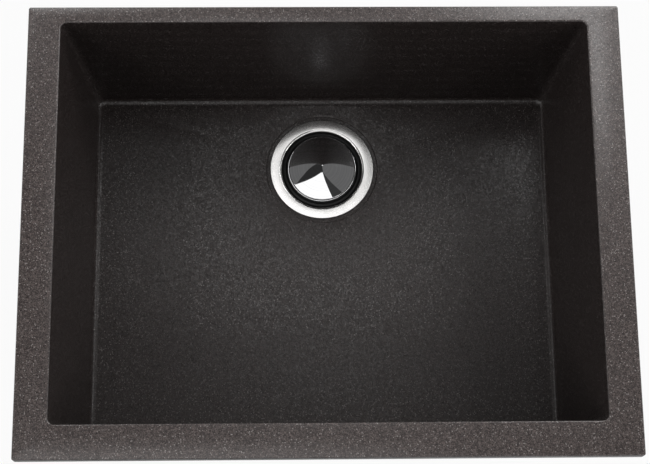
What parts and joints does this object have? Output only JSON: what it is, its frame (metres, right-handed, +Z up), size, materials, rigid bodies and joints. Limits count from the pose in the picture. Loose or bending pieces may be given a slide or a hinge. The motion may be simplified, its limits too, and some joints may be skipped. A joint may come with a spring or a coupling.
{
  "type": "undermount kitchen sink",
  "caption": "Single-bowl undermount kitchen sink in speckled granite composite: flat rim, drafted walls, floor falling to a capped basket strainer, and an outlet tailpiece.",
  "frame": {"origin": "centre of the rim's outer rectangle, on the rim's flat top face, which meets the worktop's underside", "axes": "+X to the right along the long side, +Y to the back, where the drain is, +Z up"},
  "size_m": [0.6, 0.46, 0.3644],
  "materials": {
    "granite_composite": "satin",
    "brass": "satin",
    "satin_stainless": "satin",
    "polished_stainless": "polished",
    "cast_zinc": "satin",
    "black_rubber": "satin",
    "grey_rubber": "matte",
    "fibre": "matte",
    "black_plastic": "satin",
    "white_plastic": "satin"
  },
  "bodies": {
    "root": {"sink_bowl": "granite_composite", "rim_inserts": "brass", "strainer_body": "satin_stainless", "flange_gasket": "grey_rubber", "under_gasket": "black_rubber", "friction_ring": "fibre", "locknut": "cast_zinc", "hub_cross": "satin_stainless", "tailpiece_washer": "white_plastic", "tailpiece": "polished_stainless", "coupling_nut": "cast_zinc"},
    "stem_foot": {"detent_sleeve": "white_plastic", "detent_ring": "black_rubber"},
    "basket": {"stopper_cap": "polished_stainless", "seal_plate": "black_plastic", "stopper_seal": "black_rubber", "stem": "satin_stainless", "spacer_tube": "satin_stainless", "basket_cup": "satin_stainless", "cup_washer": "white_plastic", "stem_nut": "satin_stainless", "retaining_clip": "satin_stainless"}
  },
  "joints": [
    {"name": "basket_lift", "type": "slide", "parent": "root", "child": "stem_foot", "axis": [0, 0, 1], "range_m": [0, 0.27]},
    {"name": "basket_turn", "type": "hinge", "parent": "stem_foot", "child": "basket", "pos_m": [0, 0.11851, -0.245], "axis": [0, 0, 1], "continuous": true}
  ]
}
